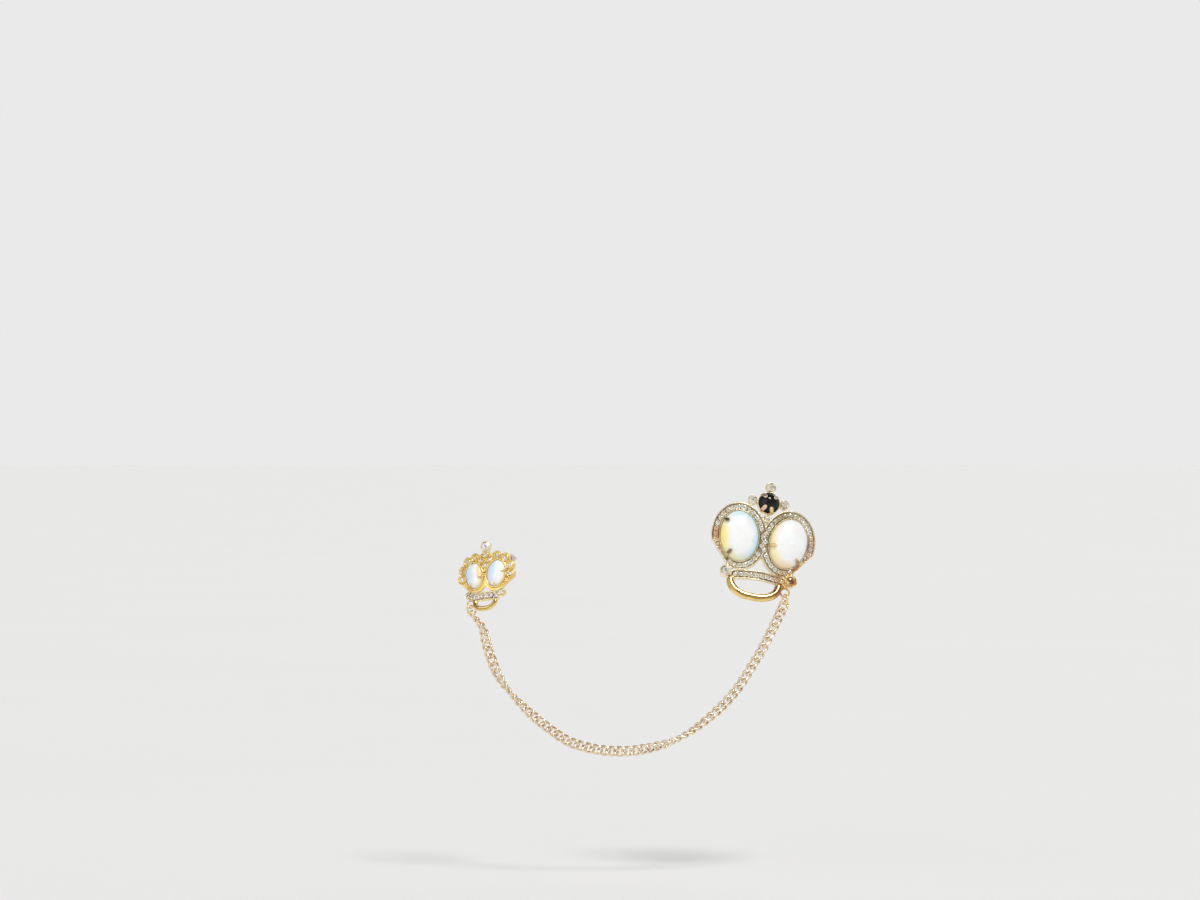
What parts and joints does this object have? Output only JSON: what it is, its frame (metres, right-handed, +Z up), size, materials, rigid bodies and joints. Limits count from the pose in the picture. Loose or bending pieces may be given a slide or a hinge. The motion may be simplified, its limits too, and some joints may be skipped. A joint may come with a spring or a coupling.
{
  "type": "chatelaine brooch",
  "caption": "Double crown brooch in worn gold with milky oval stones, cut stones along the crowns and a curb chain that joins the large and the small crown.",
  "frame": {"origin": "middle of the pin stem on the back of the large crown, where it pins on", "axes": "+X towards the wearer's left, from the small crown to the large one as seen from the front; -Y out of the chest to the viewer; +Z up"},
  "size_m": [0.1429, 0.0241, 0.1083],
  "materials": {
    "pale_gold": "worn champagne gold plate with rose and brown patches",
    "yellow_gold": "bright yellow gold plate",
    "antique_gold": "dulled gold plate on curb links",
    "pin_steel": "plain bright metal",
    "opal_glass": "milky opalescent glass, polished",
    "black_glass": "opaque black glass, polished",
    "rhinestone": "clear cut glass with foil back",
    "amber_rhinestone": "dark amber cut glass"
  },
  "bodies": {
    "root": {"large_crown_frame": "pale_gold", "large_pin": "pin_steel", "large_opal_left": "opal_glass", "large_opal_right": "opal_glass", "large_black_cabochon": "black_glass", "large_top_stone": "rhinestone", "large_side_stone_left": "rhinestone", "large_side_stone_right": "rhinestone", "large_valley_stone": "rhinestone", "large_base_stone_left": "rhinestone", "large_base_stone_right": "amber_rhinestone", "large_ring_stones_left": "rhinestone", "large_ring_stones_right": "rhinestone", "large_middle_stones": "rhinestone", "large_band_stones": "rhinestone", "small_crown_frame": "yellow_gold", "small_pin": "pin_steel", "small_opal_left": "opal_glass", "small_opal_right": "opal_glass", "small_finial_stone": "rhinestone", "small_base_stone_left": "rhinestone", "small_base_stone_right": "rhinestone", "small_arch_stones": "rhinestone", "small_centre_stones": "rhinestone", "small_band_stones": "rhinestone", "large_jump_ring": "yellow_gold", "small_jump_ring": "yellow_gold", "chain": "antique_gold"}
  },
  "joints": []
}
